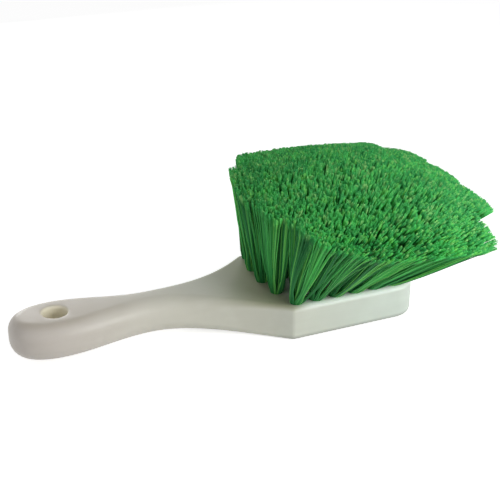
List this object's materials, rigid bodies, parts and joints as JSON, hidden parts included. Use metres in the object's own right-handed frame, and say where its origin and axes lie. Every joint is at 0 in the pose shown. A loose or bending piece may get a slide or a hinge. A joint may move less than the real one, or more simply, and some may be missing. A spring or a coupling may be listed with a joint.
{
  "type": "short-handled scrub brush",
  "caption": "Hand scrub brush with a one-piece plastic head and short rounded handle, flared bristle tufts set in drilled holes, and a hanging hole.",
  "frame": {"origin": "centre of the head's flat back", "axes": "+X from the handle to the front of the head, +Z from the back to the bristle tips, +Y across the head"},
  "size_m": [0.2563, 0.1447, 0.0804],
  "materials": {
    "block_plastic": "satin, off-white polypropylene, lightly textured",
    "bristle": "green extruded filament, slightly shiny along its length, frayed tips"
  },
  "bodies": {
    "root": {"handle_block": "block_plastic", "tuft_a1": "bristle", "tuft_a2": "bristle", "tuft_a3": "bristle", "tuft_a4": "bristle", "tuft_a5": "bristle", "tuft_a6": "bristle", "tuft_b1": "bristle", "tuft_b2": "bristle", "tuft_b3": "bristle", "tuft_b4": "bristle", "tuft_b5": "bristle", "tuft_b6": "bristle", "tuft_b7": "bristle", "tuft_c1": "bristle", "tuft_c2": "bristle", "tuft_c3": "bristle", "tuft_c4": "bristle", "tuft_c5": "bristle", "tuft_c6": "bristle", "tuft_c7": "bristle", "tuft_d1": "bristle", "tuft_d2": "bristle", "tuft_d3": "bristle", "tuft_d4": "bristle", "tuft_d5": "bristle", "tuft_d6": "bristle", "tuft_d7": "bristle", "tuft_e1": "bristle", "tuft_e2": "bristle", "tuft_e3": "bristle", "tuft_e4": "bristle", "tuft_e5": "bristle", "tuft_e6": "bristle"}
  },
  "joints": []
}
